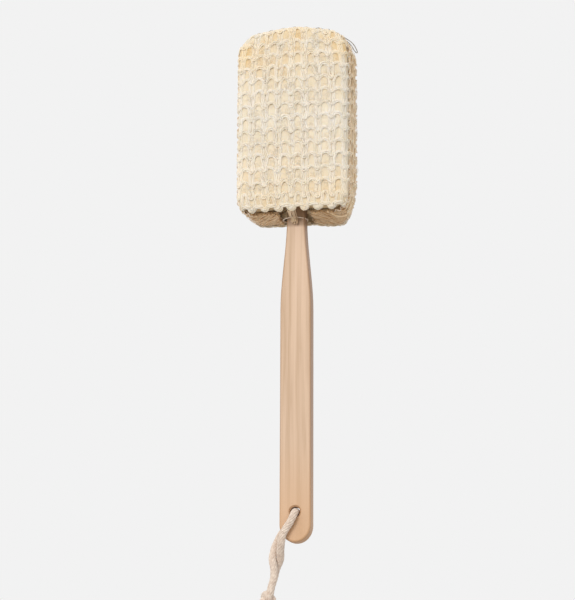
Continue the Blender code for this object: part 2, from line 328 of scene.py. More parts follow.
def rounded_distance(u, v, half_u, half_v, r_low, r_high):
    """Distance outside a rounded rectangle (negative inside) and the way out, in its plane."""
    r = np.where(v > 0.0, r_high, r_low)
    du, dv = np.abs(u) - (half_u - r), np.abs(v) - (half_v - r)
    ou, ov = np.maximum(du, 0.0), np.maximum(dv, 0.0)
    out = np.hypot(ou, ov)
    inside = out < 1e-9
    prefer_u = du > dv
    nu = np.where(inside, np.where(prefer_u, 1.0, 0.0), ou / np.maximum(out, 1e-9))
    nv = np.where(inside, np.where(prefer_u, 0.0, 1.0), ov / np.maximum(out, 1e-9))
    distance = np.where(inside, np.maximum(du, dv), out) - r
    return distance, nu * np.sign(u), nv * np.sign(v)


def smoothstep(low, high, value):
    """Rise evenly from 0 at low to 1 at high, with soft ends. low may be the larger."""
    t = np.clip((value - low) / (high - low), 0.0, 1.0)
    return t * t * (3.0 - 2.0 * t)


def dome(x, z):
    """How far the head's top falls away from its middle."""
    fall = DOME_LEVEL + DOME_DROP * smoothstep(2.0 * MM, 27.0 * MM, np.abs(x))
    return fall * smoothstep(HEAD_TOP - 42.0 * MM, HEAD_TOP - 2.0 * MM, z)


def corner_draw(x, y, z):
    """How far the head's lower back corners are drawn in."""
    return (CORNER_DRAW * smoothstep(26.0 * MM, HEAD_HALF, np.abs(x))
            * smoothstep(-14.0 * MM, 14.0 * MM, y)
            * smoothstep(HEAD_BOTTOM + 30.0 * MM, HEAD_BOTTOM + 4.0 * MM, z))


def bottom_sag(x, y, z):
    """How far the right half of the head's bottom hangs down, most at the back."""
    return (SAG * smoothstep(6.0 * MM, 24.0 * MM, x) * smoothstep(-10.0 * MM, 16.0 * MM, y)
            * smoothstep(HEAD_BOTTOM + 26.0 * MM, HEAD_BOTTOM + 2.0 * MM, z))


def slump(place):
    """Move points as the soft head departs from its plain form."""
    p = np.array(place, float)
    x, y, z = p[..., 0], p[..., 1], p[..., 2]
    return np.stack([x - np.sign(x) * corner_draw(x, y, z), y,
                     z - dome(x, z) - bottom_sag(x, y, z)], axis=-1)


def panel_surface(u, v, lift, side, hem):
    """Place panel points. u is across and v up from the head's middle, both measured on the cloth.

    lift is the height above the head's surface. side is -1 for the front and 1 for the back. Cloth
    past the rounded edge ends in the seam, or hem short of it at the bottom.
    """
    half_u, half_v = HEAD_HALF - EDGE, (HEAD_TOP - HEAD_BOTTOM) / 2.0 - EDGE
    q, nu, nv = rounded_distance(u, v, half_u, half_v, CORNER_BOTTOM - EDGE, CORNER_TOP - EDGE)
    quarter = EDGE * math.pi / 2.0
    reach = quarter + HEAD_FACE - EDGE - SEAM_Y
    reach = reach - hem * smoothstep(0.55, 0.85, -nv)
    over = np.maximum(q - reach, 0.0)
    q_in = np.minimum(q, reach)
    rolled = np.clip(q_in, 0.0, quarter)
    angle = rolled / EDGE
    straight = np.maximum(q_in - quarter, 0.0)
    pull = np.maximum(q, 0.0)
    base_u, base_v = u - pull * nu, v - pull * nv
    outward = EDGE * np.sin(angle)
    depth = HEAD_FACE - EDGE * (1.0 - np.cos(angle)) - straight
    bulge = np.clip(1.0 - (u / half_u) ** 2, 0.0, 1.0) * np.clip(1.0 - (v / half_v) ** 2, 0.0, 1.0)
    depth = depth + CROWN * np.sqrt(bulge)
    normal = np.stack([nu * np.sin(angle), side * np.cos(angle), nv * np.sin(angle)], axis=-1)
    place = np.stack([base_u + outward * nu, side * depth, HEAD_MIDDLE + base_v + outward * nv],
                     axis=-1)
    return slump(place + normal * (lift - 0.6 * over)[..., None]), normal


def outline_path():
    """The right half of the head's outline from the bottom's middle to the top's, with normals."""
    low = [(x, HEAD_BOTTOM, 0.0, -1.0) for x in np.linspace(0.0, HEAD_HALF - CORNER_BOTTOM, 12)]
    points = low[:-1]
    for a in np.radians(np.linspace(-90.0, 0.0, 16)):
        points.append((HEAD_HALF - CORNER_BOTTOM + CORNER_BOTTOM * math.cos(a),
                       HEAD_BOTTOM + CORNER_BOTTOM + CORNER_BOTTOM * math.sin(a),
                       math.cos(a), math.sin(a)))
    for z in np.linspace(HEAD_BOTTOM + CORNER_BOTTOM, HEAD_TOP - CORNER_TOP, 40)[1:-1]:
        points.append((HEAD_HALF, z, 1.0, 0.0))
    for a in np.radians(np.linspace(0.0, 90.0, 20)):
        points.append((HEAD_HALF - CORNER_TOP + CORNER_TOP * math.cos(a),
                       HEAD_TOP - CORNER_TOP + CORNER_TOP * math.sin(a),
                       math.cos(a), math.sin(a)))
    for x in np.linspace(HEAD_HALF - CORNER_TOP, 0.0, 12)[1:]:
        points.append((x, HEAD_TOP, 0.0, 1.0))
    table = np.array(points)
    run = run_length(np.stack([table[:, 0], table[:, 1]], axis=1))
    return run, table


OUTLINE_RUN, OUTLINE = outline_path()


def band_surface(s, w, lift, side):
    """Place band points. s runs along the outline from the bottom's middle, w is across it in Y."""
    x, z, nx, nz = (np.interp(s, OUTLINE_RUN, OUTLINE[:, i]) for i in range(4))
    roll_at = HEAD_FACE - EDGE
    past = np.clip((np.abs(w) - roll_at) / EDGE, 0.0, 1.0)
    sink = EDGE * (1.0 - np.sqrt(1.0 - past ** 2))
    height = lift - sink + SIDE_CROWN * np.clip(1.0 - (w / SEAM_Y) ** 2, 0.0, 1.0)
    normal = unit(np.stack([side * nx, np.zeros_like(nx), nz], axis=-1))
    place = np.stack([side * x, w, z], axis=-1)
    return slump(place + normal * height[..., None]), normal


# ---------------------------------------------------------------- knitted loops

def course(tubes, rng, surface, ends, row_v, wale, size=1.0, widen=HEAD_WIDEN):
    """One knitted row: a yarn of several strands in loops between the given ends, in wales."""
    first, last = ends
    count = int(round((last - first) * SAMPLES)) + 1
    tau = np.linspace(first, last, count)
    t = 2.0 * np.pi * tau
    knots = max(2, int(round((last - first) * 3)))
    half = LOOP_HALF * size * (1.0 + wobble(rng, count, knots, 0.05))
    u = (wale * tau + NECK_IN * np.sin(2.0 * t) - widen * np.sin(t)
         + wobble(rng, count, knots, 0.32 * MM))
    v = row_v - half * np.cos(t) + wobble(rng, count, knots, 0.3 * MM)
    lift = (YARN_TOP - YARN_HALF_THICK - RELIEF + RELIEF * np.cos(2.0 * t)
            + wobble(rng, count, knots, 0.16 * MM))
    path, normal = surface(u, v, lift)
    tangent = unit(np.gradient(path, axis=0))
    across = unit(np.cross(tangent, normal))
    upright = np.cross(across, tangent)
    run = run_length(path)
    plump = 1.0 + wobble(rng, count, knots, 0.10)
    tone_row = 0.5 + wobble(rng, count, knots, 0.13)
    phase = rng.uniform(0.0, 2.0 * np.pi)
    for k in range(STRANDS):
        angle = phase + 2.0 * np.pi * k / STRANDS + run * 2.0 * np.pi / YARN_TWIST
        loose = 1.0 + wobble(rng, count, knots * 2, 0.16)
        shift_a = YARN_HALF_WIDTH * 0.62 * plump * loose * np.cos(angle)
        shift_n = YARN_HALF_THICK * 0.38 * plump * np.sin(angle)
        line = path + across * shift_a[:, None] + upright * shift_n[:, None]
        line = line + across * wobble(rng, count, knots * 2, 0.10 * MM)[:, None]
        tubes.add(line, upright, STRAND_WIDE * plump, STRAND_THICK * plump,
                  sides=6, tone=tone_row + rng.normal(0.0, 0.13))


def backing(tubes, surface, u_range, v_range, steps, sink=0.0, tone=0.32, slot=1):
    """The knit's inner layer, a thin closed sheet under the loops."""
    nu, nv = steps
    u, v = np.meshgrid(np.linspace(*u_range, nu), np.linspace(*v_range, nv))
    sheets = []
    for lift in (BACKING_TOP - sink, BACKING_UNDER):
        place, _ = surface(u, v, np.full_like(u, lift))
        sheets.append(place.reshape(-1, 3))
    start = tubes.count
    size = nu * nv
    tubes.points.extend(sheets)
    along = np.stack([v.ravel(), u.ravel(), np.zeros(size)], axis=-1)
    tubes.fibre.extend([along, along])
    tubes.tone.extend([np.full(size, tone)] * 2)
    i, j = np.meshgrid(np.arange(nu - 1), np.arange(nv - 1))
    a = (j * nu + i).ravel() + start
    top = np.stack([a, a + 1, a + 1 + nu, a + nu], axis=-1)
    faces = top.tolist() + (top[:, ::-1] + size).tolist()
    rim = ([k for k in range(nu)] + [nu * k + nu - 1 for k in range(1, nv)]
           + [size - 1 - k for k in range(1, nu)] + [nu * (nv - 1 - k) for k in range(1, nv - 1)])
    for k, edge in enumerate(rim):
        nxt = rim[(k + 1) % len(rim)]
        faces.append([start + nxt, start + edge, start + size + edge, start + size + nxt])
    tubes.faces.extend(faces)
    tubes.slots.extend([slot] * len(faces))
    tubes.count += 2 * size


def stray_fibres(tubes, rng, surface, u_range, v_range, count):
    """Fine fibres that have worked loose from the yarn."""
    for _ in range(count):
        u, v = rng.uniform(*u_range), rng.uniform(*v_range)
        turn = rng.uniform(0.0, 2.0 * np.pi)
        bend = rng.normal(0.0, 1.2)
        length = rng.uniform(3.0, 8.0) * MM
        t = np.linspace(0.0, 1.0, 6)
        heading = turn + bend * t
        du = np.cumsum(np.cos(heading)) * length / 6.0
        dv = np.cumsum(np.sin(heading)) * length / 6.0
        rise = (0.1 + rng.uniform(0.3, 1.5) * np.sin(np.pi * np.minimum(t * 0.8 + 0.1, 1.0))) * MM
        path, normal = surface(u + du, v + dv, rise)
        tubes.add(path, normal, 0.10 * MM, 0.10 * MM, sides=3, tone=rng.uniform(0.35, 0.8))


def drawn_yarns(tubes, rng, side):
    """Yarns of the hem that are drawn in to the thread round the neck and hang on below it."""
    low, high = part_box("neck_thread")
    for share in np.linspace(0.0, 1.0, DRAWN_YARNS):
        start = np.array([(-3.2 + 5.4 * share) * MM, side * (HEAD_FACE - 3.0 * MM),
                          HEAD_BOTTOM + rng.uniform(0.8, 1.8) * MM])
        tied = np.array([(-2.9 + 4.4 * share) * MM, side * (high.y - 1.6 * MM),
                         low.z - NECK_TIE_DROP])
        end = tied + np.array([0.2 * share, 0.0, -3.4 + rng.uniform(-1.4, 1.4)]) * MM
        middle = (start + tied) / 2.0 + np.array([rng.normal(0.0, 0.3), 0.0, -1.0]) * MM
        path = smooth_route([start, middle, tied, end], 24)
        tubes.add(path, parallel_normals(path, (0.0, side, 0.3)), 0.40 * MM, 0.40 * MM, sides=6,
                  tone=0.5 + rng.normal(0.0, 0.3), slot=2)


def knit_panel(name, side, hem, seed, materials):
    """The front or back panel: rows of loops that roll over the edge into the seam."""
    rng = np.random.default_rng(seed)
    tubes = Tubes()
    half_v = (HEAD_TOP - HEAD_BOTTOM) / 2.0 - EDGE
    half_u = HEAD_HALF - EDGE
    roll = EDGE * math.pi / 2.0 + HEAD_FACE - EDGE - SEAM_Y
    bottom, top = -half_v - (roll - hem), half_v + roll
    flat_half = half_u + roll
    first_row = bottom + LOOP_HALF + 0.3 * MM
    rise = top - ROW_CLEAR - first_row
    rows = int(round(rise / COURSE)) + 1
    step = rise / (rows - 1)

    def surface(u, v, lift):
        """The panel, drawn together towards its top."""
        squeeze = np.clip((v - 0.25 * half_v) / (0.75 * half_v), 0.0, 1.0)
        return panel_surface(u * (1.0 - TOP_PULL * squeeze ** 1.5), v, lift, side, hem)

    for row in range(rows):
        v = first_row + row * step
        reach = flat_half
        corner = (CORNER_TOP if v > 0 else CORNER_BOTTOM) + roll - EDGE
        edge = (top if v > 0 else -bottom) - corner
        if abs(v) > edge:
            reach = flat_half - corner + math.sqrt(max(corner ** 2 - (abs(v) - edge) ** 2, 0.0))
        ends = reach / WALE
        course(tubes, rng, surface, (-ends, ends), v, WALE,
               widen=HEM_WIDEN if row == 0 and hem > 0.0 else HEAD_WIDEN)
    edge_reach = (flat_half - ROW_CLEAR) / WALE
    course(tubes, rng, surface, (-edge_reach, edge_reach), bottom + RIM_CLEAR, WALE, size=0.2)
    if hem > 0.0:
        drawn_yarns(tubes, rng, side)
    backing(tubes, surface, (-flat_half, flat_half), (bottom + 2.4 * MM, top), (67, 97))
    stray_fibres(tubes, rng, surface, (-half_u, half_u), (-half_v, half_v), 900)
    return tubes.object(name, *materials)


def knit_band(name, seed, materials):
    """The band round the sides and top, in two halves that meet at the top's middle."""
    rng = np.random.default_rng(seed)
    tubes = Tubes()
    start = BAND_START
    end = OUTLINE_RUN[-1]
    rows = int(round((end - start) / COURSE))
    step = (end - start) / rows
    wale = 2.0 * (SEAM_Y + 0.6 * MM) / 3.0
    for side in (-1.0, 1.0):

        def surface(u, v, lift, side=side):
            """One half of the band. v runs along the outline."""
            return band_surface(np.clip(v, start, end), u, lift, side)

        for row in range(rows):
            course(tubes, rng, surface, (-1.5, 1.5), start + (row + 0.5) * step, wale)
        half = SEAM_Y - 0.4 * MM
        backing(tubes, surface, (-half, half), (start, end - 0.1 * MM), (25, 121), sink=0.5 * MM)
        stray_fibres(tubes, rng, surface, (-half, half), (start, end), 160)
    return tubes.object(name, *materials)


def knit_bottom(name, side, seed, materials):
    """One bottom panel: the knit pulled flat, so that its rows show as slanting ribs."""
    rng = np.random.default_rng(seed)
    tubes = Tubes()
    node = "cover_bottom_right" if side > 0 else "cover_bottom_left"
    low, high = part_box(node)
    inner = min(abs(low.x), abs(high.x)) + 0.4 * MM
    outer = BAND_START - 0.3 * MM
    front, back = low.y + 1.2 * MM, high.y + 0.6 * MM

    def surface(u, v, lift):
        """The bottom on this side, pulled flat. v runs outwards from the neck."""
        return band_surface(np.clip(v, inner, outer), u, lift - 0.5 * MM, side)

    span = back - front
    offset = inner - span * RIB_SLANT
    while offset < outer:
        t = np.linspace(0.0, 1.0, 40)
        w = front + span * t
        s = offset + span * RIB_SLANT * t + 0.8 * MM * np.sin(t * 9.0 + offset * 900.0)
        keep = (s > inner + 0.3 * MM) & (s < outer - 0.3 * MM)
        if keep.sum() > 5:
            lift = np.full(keep.sum(), -1.0 * MM) + wobble(rng, keep.sum(), 5, 0.25 * MM)
            path, normal = surface(w[keep], s[keep], lift)
            for shift in (-0.5, 0.5):
                line = path + unit(np.cross(np.gradient(path, axis=0), normal)) * shift * MM
                tubes.add(line, normal, 0.85 * MM, 0.8 * MM, sides=6,
                          tone=0.3 + rng.normal(0.0, 0.12))
        offset += RIB * (1.0 + rng.normal(0.0, 0.08))
    backing(tubes, surface, (front, back), (inner, outer), (25, 21), sink=0.9 * MM)
    stray_fibres(tubes, rng, surface, (front, back), (inner, outer), 60)
    return tubes.object(name, *materials)


# ---------------------------------------------------------------- threads, rope and knot

def whip_seam(name, w, seed, made):
    """The whipped seam thread where a face panel meets the side band."""
    rng = np.random.default_rng(seed)
    tubes = Tubes()
    start = HEAD_HALF - CORNER_BOTTOM + 2.0 * MM
    end = OUTLINE_RUN[-1]
    length = end - start
    turns = int(2.0 * length / STITCH)
    count = turns * STITCH_POINTS
    s = np.linspace(-length, length, count)
    swing = np.linspace(0.0, 2.0 * np.pi * turns, count)
    side = np.where(s < 0.0, -1.0, 1.0)
    run = end - np.abs(s)
    radius = STITCH_REACH + wobble(rng, count, turns, 0.12 * MM)
    path, normal = band_surface(run, w + radius * np.cos(swing),
                                -0.35 * MM + radius * 0.75 * np.sin(swing), side)
    tubes.add(path, parallel_normals(path, (0.2, 0.9, 0.3)), 0.33 * MM, 0.33 * MM, sides=5)
    return tubes.object(name, made)


def ring_thread(name, node, made):
    """The thread tied round the handle's neck."""
    low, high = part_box(node)
    centre = (np.array(low) + np.array(high)) / 2.0
    reach = (np.array(high) - np.array(low)) / 2.0
    radius = reach[2]
    t = np.linspace(0.0, 2.0 * np.pi, 120, endpoint=False)
    tubes = Tubes()
    for k in range(2):
        twist = t * 22.0 + k * np.pi
        out = radius * 0.45 * np.cos(twist)
        path = np.stack([centre[0] - 1.2 * MM + (reach[0] * 0.86 - radius + out) * np.cos(t),
                         centre[1] + (reach[1] * 0.93 - radius + out) * np.sin(t),
                         centre[2] - NECK_TIE_DROP + radius * 0.45 * np.sin(twist)], axis=-1)
        normal = np.stack([np.cos(t), np.sin(t), np.zeros_like(t)], axis=-1)
        tubes.add(path, normal, radius * 0.5, radius * 0.5, sides=6, closed=True)
    return tubes.object(name, made)


def closing_thread(name, made):
    """The clear thread that closes the top seam, and the loop of it left standing at the corner."""
    tubes = Tubes()
    route = smooth_route(np.array(THREAD_LOOP) * MM + np.array([0.0, 0.0, HEAD_TOP]), 90)
    lower = smoothstep(HEAD_TOP - 9.0 * MM, HEAD_TOP - 1.0 * MM, route[:, 2])[:, None]
    route = route * (1.0 - lower) + (slump(route) - [0.0, 0.0, 0.3 * MM]) * lower
    tubes.add(route, parallel_normals(route, (0.1, 0.2, 0.9)), 0.38 * MM, 0.38 * MM, sides=8)
    first, length, stitch = 26.0 * MM, 62.0 * MM, 9.0 * MM
    s = np.linspace(0.0, length, 200)
    x = first - s
    side = np.where(x < 0.0, -1.0, 1.0)
    run = OUTLINE_RUN[-1] - np.abs(x)
    swing = s * 2.0 * np.pi / stitch
    path, normal = band_surface(run, -13.4 * MM + 1.8 * MM * np.sin(swing),
                                0.75 * MM + 0.3 * MM * np.cos(swing), side)
    tubes.add(path, parallel_normals(path, (0.1, 0.2, 0.9)), 0.3 * MM, 0.3 * MM, sides=6)
    return tubes.object(name, made)


def rope(tubes, path, radius, seed, tone=0.5, hairs=60, plies=8):
    """A soft cord: fine plies laid closely round a core, with some loose fibres."""
    rng = np.random.default_rng(seed)
    count = len(path)
    normal = parallel_normals(path, (0.31, 0.2, 0.93))
    tangent = unit(np.gradient(path, axis=0))
    side = np.cross(tangent, normal)
    run = run_length(path)
    soft = 1.0 + wobble(rng, count, max(3, count // 14), 0.03)
    core = radius * ROPE_CORE * soft
    tubes.add(path, normal, core, core, sides=12, tone=tone)
    for k in range(plies):
        angle = 2.0 * np.pi * (run / PLY_PITCH + k / plies)
        out = normal * np.cos(angle)[:, None] + side * np.sin(angle)[:, None]
        line = path + out * (radius * PLY_OUT * soft)[:, None]
        ply = radius * PLY_HALF * soft
        tubes.add(line, out, ply, ply, sides=8, tone=tone + rng.normal(0.0, 0.12))
    for _ in range(hairs):
        at = rng.integers(2, count - 2)
        angle = rng.uniform(0.0, 2.0 * np.pi)
        out = normal[at] * math.cos(angle) + side[at] * math.sin(angle)
        lean = tangent[at] * rng.choice([-1.0, 1.0]) + side[at] * rng.uniform(-0.3, 0.3)
        t = np.linspace(0.0, 1.0, 5)[:, None]
        reach = rng.uniform(1.0, 2.0) * MM
        line = (path[at] + out * radius * (0.9 + 0.4 * np.sin(np.pi * t * 0.8))
                + lean * reach * t)
        tubes.add(line, parallel_normals(line, out + 0.01), 0.04 * MM, 0.04 * MM, sides=3,
                  tone=0.8)


def knot(name, node, made):
    """The knot that ties the loop: rope wound over and under itself, with both strands' ends."""
    low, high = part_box(node)
    centre = (np.array(low) + np.array(high)) / 2.0
    reach = (np.array(high) - np.array(low)) / 2.0
    t = np.linspace(0.0, 2.0 * np.pi, 200)
    ring = 2.0 + np.cos(3.0 * t)
    shape = np.stack([ring * np.cos(2.0 * t), 1.9 * np.sin(3.0 * t), ring * np.sin(2.0 * t)],
                     axis=-1) / np.array([3.0, 1.9, 3.0])
    tubes = Tubes()
    rope(tubes, centre + shape * (reach - 2.0 * MM), KNOT_ROPE, seed=77, hairs=40)
    for points in (FRONT_STRAND, BACK_STRAND):
        end = np.array(points[-1]) * MM + np.array(HOLE)
        before = np.array(points[-2]) * MM + np.array(HOLE)
        way = unit(end - before)
        path = smooth_route([end, end + way * 3.0 * MM, centre + (end - centre) * 0.2], 24)
        rope(tubes, path, KNOT_END, seed=78, hairs=0)
    for points in (FRONT_TAIL, BACK_TAIL):
        start = np.array(points[0]) * MM + np.array(HOLE)
        path = smooth_route([centre + (start - centre) * 0.3, start], 16)
        rope(tubes, path, KNOT_END, seed=79, hairs=0)
    return tubes.object(name, made)


def tail(name, points, seed, made):
    """A rope tail whose end has frayed into loose yarn."""
    rng = np.random.default_rng(seed)
    tubes = Tubes()
    path = smooth_route(np.array(points) * MM + np.array(HOLE), TAIL_POINTS)
    rope(tubes, path[:FRAY_FROM + 2], ROPE / 2.0, seed, hairs=20)
    start = path[FRAY_FROM]
    way = unit(path[-1] - start)
    length = float(np.linalg.norm(path[-1] - start))
    for _ in range(FRAY_YARNS):
        off = rng.normal(0.0, 1.0, 3)
        off = off - way * (off @ way)
        off = unit(off) * rng.uniform(0.1, 1.0)
        t = np.linspace(0.0, 1.0, 9)[:, None]
        bend = rng.normal(0.0, 0.5, 3) * MM
        line = (start + way * length * rng.uniform(0.75, 1.05) * t
                + off * ROPE * (0.36 + 0.22 * t ** 1.5) + bend * np.sin(t * 4.0) * t)
        tubes.add(line, parallel_normals(line, off + 0.01), 0.30 * MM, 0.30 * MM, sides=5,
                  tone=0.5 + rng.normal(0.0, 0.15))
    return tubes.object(name, made)


# ---------------------------------------------------------------- materials

class Nodes:
    """Short calls for building a material's node tree."""

    def __init__(self, name, roughness):
        """A new Principled material of that roughness."""
        self.material = bpy.data.materials.new(name)
        self.material.use_nodes = True
        self.tree = self.material.node_tree
        self.shader = self.tree.nodes["Principled BSDF"]
        self.shader.inputs["Roughness"].default_value = roughness

    def link(self, a, b):
        """Join an output to an input."""
        self.tree.links.new(a, b)

    def attribute(self, name, output):
        """A value that the mesh holds at each point."""
        node = self.tree.nodes.new("ShaderNodeAttribute")
        node.attribute_name = name
        return node.outputs[output]

    def noise(self, vector, scale, detail=4.0, rough=0.6):
        """Cloudy noise between 0 and 1."""
        node = self.tree.nodes.new("ShaderNodeTexNoise")
        node.inputs["Scale"].default_value = scale
        node.inputs["Detail"].default_value = detail
        node.inputs["Roughness"].default_value = rough
        self.link(vector, node.inputs["Vector"])
        return node.outputs["Fac"]

    def stretch(self, vector, scale):
        """Coordinates scaled along each axis."""
        node = self.tree.nodes.new("ShaderNodeMapping")
        node.inputs["Scale"].default_value = scale
        self.link(vector, node.inputs["Vector"])
        return node.outputs["Vector"]

    def position(self):
        """The place on the object, in metres."""
        return self.tree.nodes.new("ShaderNodeTexCoord").outputs["Object"]

    def ramp(self, value, *stops):
        """A colour for each value, between (value, colour) stops."""
        node = self.tree.nodes.new("ShaderNodeValToRGB")
        node.color_ramp.elements[0].position = stops[0][0]
        node.color_ramp.elements[0].color = (*stops[0][1], 1.0)
        node.color_ramp.elements[1].position = stops[-1][0]
        node.color_ramp.elements[1].color = (*stops[-1][1], 1.0)
        for place, colour in stops[1:-1]:
            node.color_ramp.elements.new(place).color = (*colour, 1.0)
        self.link(value, node.inputs["Fac"])
        return node.outputs["Color"]

    def mix(self, share, a, b, mode="MIX"):
        """Two colours blended by a share."""
        node = self.tree.nodes.new("ShaderNodeMix")
        node.data_type = "RGBA"
        node.blend_type = mode
        for socket, value in ((node.inputs["Factor"], share), (node.inputs["A"], a),
                              (node.inputs["B"], b)):
            self.set(socket, value)
        return node.outputs["Result"]

    def axis(self, vector, name):
        """One coordinate of a vector."""
        node = self.tree.nodes.new("ShaderNodeSeparateXYZ")
        self.link(vector, node.inputs[0])
        return node.outputs[name]

    def between(self, value, low, high, top=1.0):
        """Rise from 0 where the value is low to top where it is high."""
        node = self.tree.nodes.new("ShaderNodeMapRange")
        node.inputs["From Min"].default_value = low
        node.inputs["From Max"].default_value = high
        node.inputs["To Max"].default_value = top
        self.link(value, node.inputs["Value"])
        return node.outputs[0]

    def math(self, operation, a, b=0.0, clamp=False):
        """One step of arithmetic on two values."""
        node = self.tree.nodes.new("ShaderNodeMath")
        node.operation = operation
        node.use_clamp = clamp
        self.set(node.inputs[0], a)
        self.set(node.inputs[1], b)
        return node.outputs[0]

    def set(self, socket, value):
        """Feed an input from another node, or set it to a colour or a number."""
        if isinstance(value, bpy.types.NodeSocket):
            self.link(value, socket)
        elif isinstance(value, tuple) and len(value) == 3:
            socket.default_value = (*value, 1.0)
        else:
            socket.default_value = value

    def finish(self, colour, height=None, strength=0.3, distance=0.0004):
        """Set the shader's colour, and its bumps where there is a height."""
        self.set(self.shader.inputs["Base Color"], colour)
        if height is not None:
            bump = self.tree.nodes.new("ShaderNodeBump")
            bump.inputs["Strength"].default_value = strength
            bump.inputs["Distance"].default_value = distance
            self.link(height, bump.inputs["Height"])
            self.link(bump.outputs["Normal"], self.shader.inputs["Normal"])
        return self.material


def sisal_material(name, pale, tan, deep, gold, gold_share, spread=0.45):
    """Plant-fibre yarn: fine streaks along each strand, with paler and yellower lengths."""
    n = Nodes(name, 0.7)
    fibre = n.attribute("fibre", "Vector")
    streaks = n.noise(n.stretch(fibre, (120.0, 2600.0, 2600.0)), 1.0, 3.0)
    patches = n.noise(n.position(), 38.0, 2.0)
    tone = n.attribute("tone", "Fac")
    mixed = n.math("ADD", n.math("MULTIPLY", streaks, 0.5), n.math("MULTIPLY", patches, 0.5))
    mixed = n.math("ADD", mixed, n.math("MULTIPLY", n.math("SUBTRACT", tone, 0.5), spread))
    colour = n.ramp(mixed, (0.25, deep), (0.48, tan), (0.7, pale))
    height = n.axis(n.position(), "Z")
    upper = n.between(height, HEAD_TOP - GOLD_ABOVE[0], HEAD_TOP - GOLD_ABOVE[1])
    lower = n.between(height, HEAD_BOTTOM + GOLD_BELOW[0], HEAD_BOTTOM + GOLD_BELOW[1], LOWER_GOLD)
    blotches = n.math("MULTIPLY", n.math("SUBTRACT", patches, 0.36), 3.2, clamp=True)
    ends = n.math("ADD", upper, lower)
    golden = n.math("MULTIPLY", ends, n.math("MULTIPLY", blotches, gold_share))
    colour = n.mix(golden, colour, gold)
    n.shader.inputs["Specular IOR Level"].default_value = 0.22
    n.shader.inputs["Subsurface Weight"].default_value = 0.2
    n.shader.inputs["Subsurface Radius"].default_value = (0.004, 0.003, 0.002)
    n.shader.inputs["Subsurface Scale"].default_value = 0.3
    n.shader.inputs["Sheen Weight"].default_value = 0.5
    n.shader.inputs["Sheen Roughness"].default_value = 0.6
    n.shader.inputs["Sheen Tint"].default_value = (0.95, 0.84, 0.68, 1.0)
    return n.finish(colour, streaks, 0.25, 0.00025)


def face_knit():
    """The front and back panels: their loops, inner layer and drawn yarns."""
    return [
        sisal_material("sisal_yarn", (0.83, 0.77, 0.69), (0.80, 0.725, 0.615),
                       (0.72, 0.62, 0.46), (0.85, 0.67, 0.43), 1.2),
        sisal_material("sisal_inner", (0.85, 0.785, 0.67), (0.80, 0.72, 0.58),
                       (0.69, 0.58, 0.41), (0.68, 0.47, 0.21), 1.3),
        sisal_material("sisal_drawn", (0.84, 0.68, 0.49), (0.70, 0.52, 0.34),
                       (0.50, 0.34, 0.20), (0.70, 0.52, 0.34), 0.0),
    ]


def side_knit_painted_shade():
    """The band, painted darker and browner than the face panels for the shade on the head's sides and
    top: its loops and inner layer.
    """
    return [
        sisal_material("sisal_side_yarn_painted_shade", (0.91, 0.765, 0.57), (0.87, 0.685, 0.475),
                       (0.74, 0.53, 0.31), (0.84, 0.60, 0.33), 0.7),
        sisal_material("sisal_side_inner_painted_shade", (0.88, 0.69, 0.45), (0.78, 0.58, 0.35),
                       (0.60, 0.41, 0.21), (0.66, 0.44, 0.20), 0.9),
    ]


def bottom_knit_painted_shade():
    """The bottom panels, painted darker and browner for the shade under the head, with the strongest
    contrast: their ribs and inner layer.
    """
    return [
        sisal_material("sisal_low_yarn_painted_shade", (0.98, 0.75, 0.49), (0.87, 0.59, 0.34),
                       (0.58, 0.36, 0.175), (0.87, 0.59, 0.34), 0.0, spread=1.1),
        sisal_material("sisal_low_inner_painted_shade", (0.58, 0.40, 0.24), (0.46, 0.30, 0.16),
                       (0.32, 0.20, 0.10), (0.46, 0.30, 0.16), 0.0),
    ]


def wood_material():
    """Light close-grained wood, its grain along Z, browner towards its rounded end, with painted shade on
    its sides and edges and a painted shadow at its neck below the head.
    """
    n = Nodes("handle_wood", 0.48)
    place = n.position()
    wide = n.noise(n.stretch(place, (90.0, 90.0, 3.0)), 1.0, 3.0)
    bent = n.mix(0.012, place, wide, "ADD")
    rings = n.noise(n.stretch(bent, (240.0, 240.0, 4.5)), 1.0, 4.0, 0.55)
    pores = n.noise(n.stretch(place, (2600.0, 2600.0, 110.0)), 1.0, 2.0)
    colour = n.ramp(rings, (0.34, (0.465, 0.30, 0.175)), (0.47, (0.56, 0.382, 0.25)),
                    (0.60, (0.62, 0.43, 0.288)), (0.72, (0.635, 0.45, 0.315)))
    colour = n.mix(n.math("MULTIPLY", n.math("GREATER_THAN", pores, 0.68), 0.14), colour,
                   (0.40, 0.25, 0.15))
    # Painted shade: faces that turn away from the front, the handle's rounded edges and narrow sides, are
    # darkened towards dark brown.
    facing = n.axis(n.tree.nodes.new("ShaderNodeTexCoord").outputs["Normal"], "Y")
    facing = n.math("MULTIPLY", facing, facing)
    edge = n.math("MULTIPLY", n.math("SUBTRACT", 1.0, facing), 1.4, clamp=True)
    colour = n.mix(n.math("MULTIPLY", edge, 0.5), colour, (0.27, 0.12, 0.06))
    height = n.axis(place, "Z")
    low = n.between(height, HOLE.z + 50.0 * MM, HOLE.z - 25.0 * MM, 0.75)
    colour = n.mix(low, colour, (0.60, 0.345, 0.17))
    # Painted shadow: the wood just below the head, where the hem and the opening shade it, is darkened
    # towards dark brown.
    neck = n.between(height, HEAD_BOTTOM - 7.5 * MM, HEAD_BOTTOM - 5.5 * MM, 0.6)
    colour = n.mix(neck, colour, (0.24, 0.13, 0.06))
    return n.finish(colour, pores, 0.10, 0.00015)


def foam_material():
    """Yellow-brown foam with fine cells."""
    n = Nodes("foam", 0.95)
    fine = n.noise(n.position(), 900.0, 3.0)
    wide = n.noise(n.position(), 60.0, 2.0)
    colour = n.ramp(wide, (0.35, (0.60, 0.44, 0.25)), (0.65, (0.72, 0.56, 0.35)))
    return n.finish(colour, fine, 0.6, 0.0005)


